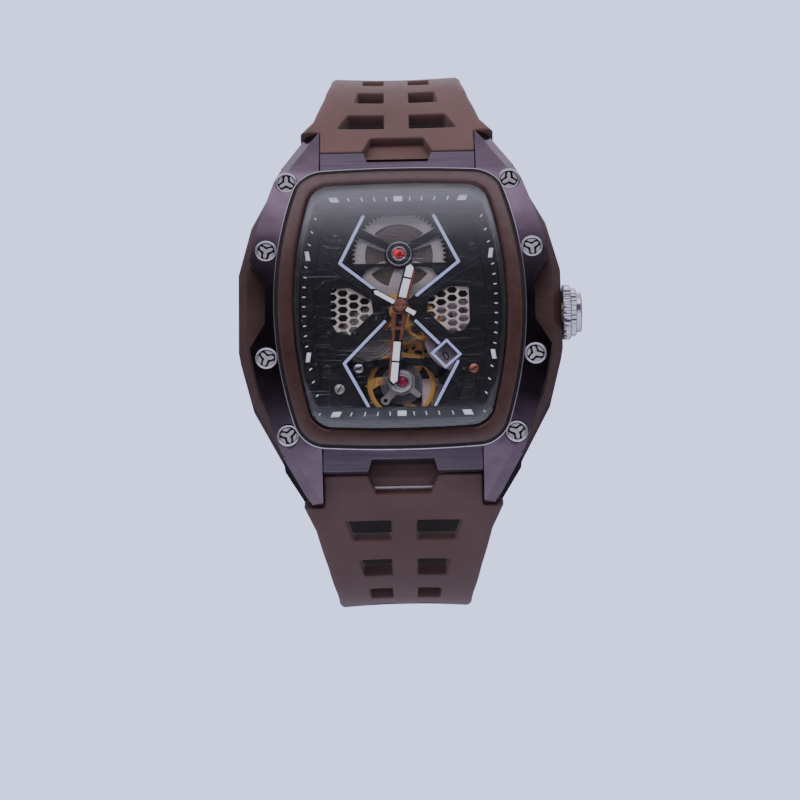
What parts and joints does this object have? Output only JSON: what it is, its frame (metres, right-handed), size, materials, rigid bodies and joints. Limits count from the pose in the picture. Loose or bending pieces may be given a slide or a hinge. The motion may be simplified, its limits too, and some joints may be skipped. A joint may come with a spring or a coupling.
{
  "type": "skeleton automatic wristwatch",
  "caption": "Barrel-shaped skeleton wristwatch with screwed bezel rails, honeycomb dial, open gear train, hands, winding crown and a buckled slotted rubber strap.",
  "frame": {"origin": "middle of the case back's outer face", "axes": "-Y out of the dial, +Z to 12 o'clock, +X to the crown at 3 o'clock; the strap's loop is on +Y"},
  "size_m": [0.0446, 0.0512, 0.0738],
  "materials": {
    "case_brown": "satin brown case with a glossy ring",
    "rail_steel": "polished gunmetal with a purple tint",
    "plate_steel": "satin gunmetal",
    "chrome": "polished",
    "case_steel": "satin steel",
    "movement_steel": "fine satin",
    "brass": "polished",
    "holder_grey": "matte",
    "bridge_black": "black coated, satin",
    "silver_plate": "warm silver",
    "dial_black": "black, satin",
    "lume_white": "white lume",
    "hand_copper": "dark copper",
    "jewel_red": "polished red jewel",
    "black_rubber": "black",
    "strap_rubber": "matte dark taupe rubber",
    "glass": "clear"
  },
  "bodies": {
    "case": {"case_middle": "case_brown", "rail_left": "rail_steel", "rail_right": "rail_steel", "end_plate_12": "plate_steel", "end_plate_6": "plate_steel", "bezel_screws": "chrome", "bezel_ring": "case_brown", "crystal": "glass", "crystal_gasket": "black_rubber", "chapter_ring": "dial_black", "chapter_markers": "lume_white", "dial_plate": "dial_black", "dial_screws": "chrome", "lume_lines": "lume_white", "honeycomb": "silver_plate", "date_frame": "lume_white", "movement_holder": "holder_grey", "main_plate": "movement_steel", "barrel_bridge": "bridge_black", "barrel_jewel": "jewel_red", "balance_bridge": "bridge_black", "balance_jewel": "jewel_red", "regulator": "movement_steel", "train_bridge": "movement_steel", "crown_tube": "movement_steel", "case_back": "case_steel", "back_glass": "glass", "back_screws": "chrome", "rotor_bearing": "movement_steel", "strap_12": "strap_rubber", "strap_6": "strap_rubber", "spring_bars": "movement_steel", "buckle_frame": "case_steel", "fixed_keeper": "strap_rubber"},
    "minute_parts": {"centre_wheel": "brass", "minute_hand": "hand_copper", "minute_lume": "lume_white"},
    "hour_parts": {"hour_wheel": "brass", "hour_hand": "hand_copper", "hour_lume": "lume_white"},
    "minute_wheel": {"minute_wheel": "brass"},
    "third_wheel": {"third_wheel": "movement_steel"},
    "seconds_parts": {"fourth_wheel": "brass", "seconds_hand": "hand_copper", "seconds_lume": "lume_white"},
    "escape_wheel": {"escape_wheel": "brass"},
    "pallet_fork": {"pallet_fork": "movement_steel"},
    "balance": {"balance_wheel": "brass", "hairspring": "movement_steel"},
    "barrel": {"barrel_drum": "movement_steel", "mainspring": "movement_steel"},
    "barrel_arbor": {"barrel_arbor": "movement_steel"},
    "date_disc": {"date_disc": "silver_plate"},
    "rotor": {"rotor": "movement_steel"},
    "setting_lever": {"setting_lever": "movement_steel"},
    "crown": {"crown": "chrome", "winding_stem": "movement_steel"},
    "tongue": {"buckle_tongue": "case_steel"},
    "free_keeper": {"free_keeper": "strap_rubber"}
  },
  "joints": [
    {"name": "minute_turn", "type": "hinge", "parent": "case", "child": "minute_parts", "pos_m": [0, 0, 0], "axis": [0, 1, 0], "continuous": true},
    {"name": "hour_turn", "type": "hinge", "parent": "case", "child": "hour_parts", "pos_m": [0, 0, 0], "axis": [0, 1, 0], "continuous": true},
    {"name": "minute_wheel_turn", "type": "hinge", "parent": "case", "child": "minute_wheel", "pos_m": [0.00289, 0, -0.00141], "axis": [0, 1, 0], "continuous": true},
    {"name": "third_turn", "type": "hinge", "parent": "case", "child": "third_wheel", "pos_m": [-0.00369, 0, -0.00274], "axis": [0, 1, 0], "continuous": true},
    {"name": "seconds_turn", "type": "hinge", "parent": "case", "child": "seconds_parts", "pos_m": [0, 0, 0], "axis": [0, 1, 0], "continuous": true},
    {"name": "escape_turn", "type": "hinge", "parent": "case", "child": "escape_wheel", "pos_m": [0.0026, 0, -0.004], "axis": [0, 1, 0], "continuous": true},
    {"name": "pallet_swing", "type": "hinge", "parent": "case", "child": "pallet_fork", "pos_m": [0.00137, 0, -0.00668], "axis": [0, 1, 0], "range_deg": [-5, 5]},
    {"name": "balance_swing", "type": "hinge", "parent": "case", "child": "balance", "pos_m": [0, 0, -0.0097], "axis": [0, 1, 0], "range_deg": [-270, 270]},
    {"name": "barrel_turn", "type": "hinge", "parent": "case", "child": "barrel", "pos_m": [0, 0, 0.0078], "axis": [0, 1, 0], "continuous": true},
    {"name": "winding_turn", "type": "hinge", "parent": "case", "child": "barrel_arbor", "pos_m": [0, 0, 0.0078], "axis": [0, 1, 0], "continuous": true},
    {"name": "date_turn", "type": "hinge", "parent": "case", "child": "date_disc", "pos_m": [0.008, 0, -0.0034], "axis": [0, 1, 0], "continuous": true},
    {"name": "rotor_turn", "type": "hinge", "parent": "case", "child": "rotor", "pos_m": [0, 0, 0], "axis": [0, 1, 0], "continuous": true},
    {"name": "crown_pull", "type": "slide", "parent": "case", "child": "setting_lever", "axis": [1, 0, 0], "range_m": [0, 0.001]},
    {"name": "crown_turn", "type": "hinge", "parent": "setting_lever", "child": "crown", "pos_m": [0, -0.006, 0], "axis": [1, 0, 0], "continuous": true},
    {"name": "tongue_lift", "type": "hinge", "parent": "case", "child": "tongue", "pos_m": [0, 0.03309, 0.008], "axis": [1, 0, 0], "range_deg": [0, 12]},
    {"name": "keeper_slide", "type": "hinge", "parent": "case", "child": "free_keeper", "pos_m": [0, -0.00341, 0.00875], "axis": [1, 0, 0], "range_deg": [-3, 3]}
  ],
  "couplings": [
    {"joint": "hour_turn", "follows": "minute_turn", "ratio": 0.083333},
    {"joint": "minute_wheel_turn", "follows": "minute_turn", "ratio": -0.33333},
    {"joint": "third_turn", "follows": "minute_turn", "ratio": -8},
    {"joint": "seconds_turn", "follows": "minute_turn", "ratio": 60},
    {"joint": "escape_turn", "follows": "minute_turn", "ratio": -600},
    {"joint": "barrel_turn", "follows": "minute_turn", "ratio": -0.3}
  ]
}
